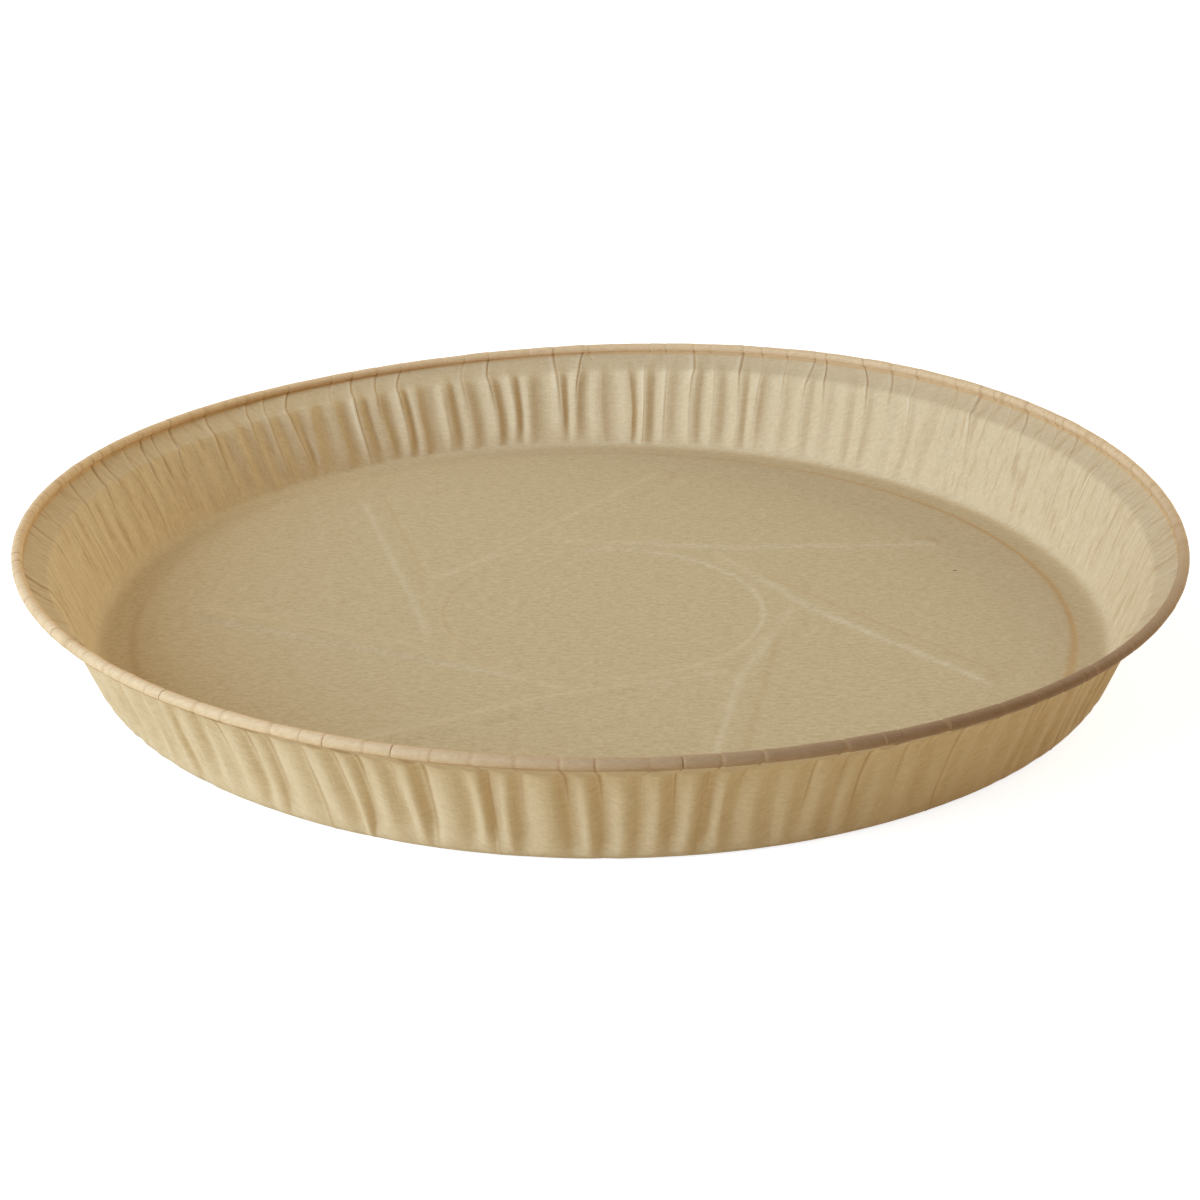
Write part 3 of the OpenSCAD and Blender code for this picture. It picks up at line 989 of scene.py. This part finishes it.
@dataclass(frozen=True)
class Lamp:
    """A square soft lamp that looks at the pan.

    Turn is the direction from the pan in degrees from the right, rise the height above
    the table in degrees, power is in watts, and size and far are metres.
    """

    name: str
    turn: float
    rise: float
    power: float
    colour: tuple[float, float, float]
    size: float = 0.8
    far: float = 1.3

    def build(self) -> None:
        """Hang the lamp in the scene."""
        a, e = math.radians(self.turn), math.radians(self.rise)
        place = Vector((math.cos(a) * math.cos(e), math.sin(a) * math.cos(e), math.sin(e))) * self.far
        data = bpy.data.lights.new(self.name, "AREA")
        data.shape = "SQUARE"
        data.size = self.size
        data.energy = self.power
        data.color = self.colour
        lamp = bpy.data.objects.new(self.name, data)
        lamp.location = place
        lamp.rotation_euler = (-place).to_track_quat("-Z", "Y").to_euler()
        bpy.context.collection.objects.link(lamp)


@dataclass(frozen=True)
class Studio:
    """White table, soft lamps and the camera at the photograph's place.

    The camera's distance is in rim radii, and its angles are radians.
    """

    focal_px: float = 2275.42
    frame_px: float = 1200.0
    distance: float = 4.0263
    elevation: float = 0.4111
    yaw: float = -0.0013
    pitch: float = 0.0052
    roll: float = 0.0027
    lamps: tuple[Lamp, ...] = (
        Lamp("window", 214.0, 27.0, 21.0, (0.50, 0.72, 1.00)),
        Lamp("warm_side", 40.0, 22.0, 7.5, (0.98, 1.04, 0.86)),
        Lamp("soft_top", 140.0, 62.0, 2.4, (0.95, 0.94, 0.88)),
    )
    world_level: float = 0.34
    world_colour: Rgba = (1.00, 0.85, 0.62, 1.0)
    table_half: float = 4.0
    table_bounce: Rgba = (0.90, 0.78, 0.55, 1.0)
    table_glow: float = 0.82

    def camera(self) -> None:
        """Place the camera where the photograph was taken from."""
        e, far = self.elevation, self.distance
        spot = np.array([0.0, -far * math.cos(e), far * math.sin(e)])
        ahead = -spot / np.linalg.norm(spot)
        right = np.array([1.0, 0.0, 0.0])
        up = np.cross(right, ahead)
        axes = np.stack([right, up, ahead])
        cy, sy = math.cos(self.yaw), math.sin(self.yaw)
        cp, sp = math.cos(self.pitch), math.sin(self.pitch)
        cr, sr = math.cos(self.roll), math.sin(self.roll)
        yaw = np.array([[cy, 0, -sy], [0, 1, 0], [sy, 0, cy]])
        pitch = np.array([[1, 0, 0], [0, cp, -sp], [0, sp, cp]])
        roll = np.array([[cr, -sr, 0], [sr, cr, 0], [0, 0, 1]])
        axes = roll @ pitch @ yaw @ axes
        data = bpy.data.cameras.new("photo_camera")
        data.sensor_width = 36.0
        data.sensor_fit = "HORIZONTAL"
        data.lens = self.focal_px / self.frame_px * data.sensor_width
        data.clip_start = 0.01
        camera = bpy.data.objects.new("photo_camera", data)
        turn = Matrix((axes[0], axes[1], -axes[2])).transposed().to_4x4()
        camera.matrix_world = Matrix.Translation(Vector(spot * RIM_R * MM)) @ turn
        bpy.context.collection.objects.link(camera)
        bpy.context.scene.camera = camera

    def world(self) -> None:
        """Even studio light, and plain white where the camera looks past the table."""
        world = bpy.data.worlds.new("studio")
        bpy.context.scene.world = world
        world.use_nodes = True
        w = Wiring(world.node_tree)
        world.node_tree.nodes.clear()
        out = w.node("ShaderNodeOutputWorld")
        light = w.node("ShaderNodeBackground")
        light.inputs["Color"].default_value = self.world_colour
        light.inputs["Strength"].default_value = self.world_level
        white = w.node("ShaderNodeBackground")
        white.inputs["Color"].default_value = (1.0, 1.0, 1.0, 1.0)
        path = w.node("ShaderNodeLightPath")
        seen = w.math("MAXIMUM", path.outputs["Is Camera Ray"], path.outputs["Is Glossy Ray"])
        seen = w.math("MAXIMUM", seen, path.outputs["Is Transmission Ray"])
        mix = w.node("ShaderNodeMixShader")
        w.put(mix.inputs[0], seen)
        w.put(mix.inputs[1], light.outputs[0])
        w.put(mix.inputs[2], white.outputs[0])
        w.put(out.inputs["Surface"], mix.outputs[0])

    def table(self) -> None:
        """White table top that keeps the pan's soft shadow, a hair below the floor's face."""
        mesh = bpy.data.meshes.new("table_top")
        half, low = self.table_half, -0.1 * MM
        mesh.from_pydata([(-half, -half, low), (half, -half, low), (half, half, low), (-half, half, low)],
                         [], [(0, 1, 2, 3)])
        table = bpy.data.objects.new("table_top", mesh)
        bpy.context.collection.objects.link(table)
        mat = bpy.data.materials.new("table_white")
        mat.use_nodes = True
        w = Wiring(mat.node_tree)
        mat.node_tree.nodes.clear()
        out = w.node("ShaderNodeOutputMaterial")
        paint = w.node("ShaderNodeBsdfDiffuse")
        paint.inputs["Color"].default_value = (0.5, 0.5, 0.5, 1.0)
        bounce = w.node("ShaderNodeBsdfDiffuse")
        bounce.inputs["Color"].default_value = self.table_bounce
        glow = w.node("ShaderNodeEmission")
        glow.inputs["Color"].default_value = (1.0, 1.0, 1.0, 1.0)
        glow.inputs["Strength"].default_value = self.table_glow
        path = w.node("ShaderNodeLightPath")
        both = w.node("ShaderNodeAddShader")
        w.put(both.inputs[0], paint.outputs[0])
        w.put(both.inputs[1], glow.outputs[0])
        mix = w.node("ShaderNodeMixShader")
        seen = w.math("MAXIMUM", path.outputs["Is Camera Ray"], path.outputs["Is Glossy Ray"])
        w.put(mix.inputs[0], seen)
        w.put(mix.inputs[1], bounce.outputs[0])
        w.put(mix.inputs[2], both.outputs[0])
        w.put(out.inputs["Surface"], mix.outputs[0])
        mesh.materials.append(mat)

    def build(self) -> None:
        """Build camera, world, table and lamps."""
        self.camera()
        self.world()
        self.table()
        for lamp in self.lamps:
            lamp.build()
        bpy.context.scene.view_settings.view_transform = "Standard"


def main() -> None:
    """Build the pan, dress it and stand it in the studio."""
    logging.basicConfig(level=logging.INFO, format="%(name)s %(message)s")
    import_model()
    maker = BoardPan()
    pan = maker.build()
    pan.data.materials.append(KraftFinish(groove_run=maker.flange_end).build())
    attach(pan, "root")
    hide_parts("tray")
    Studio().build()


if __name__ == "__main__":
    main()
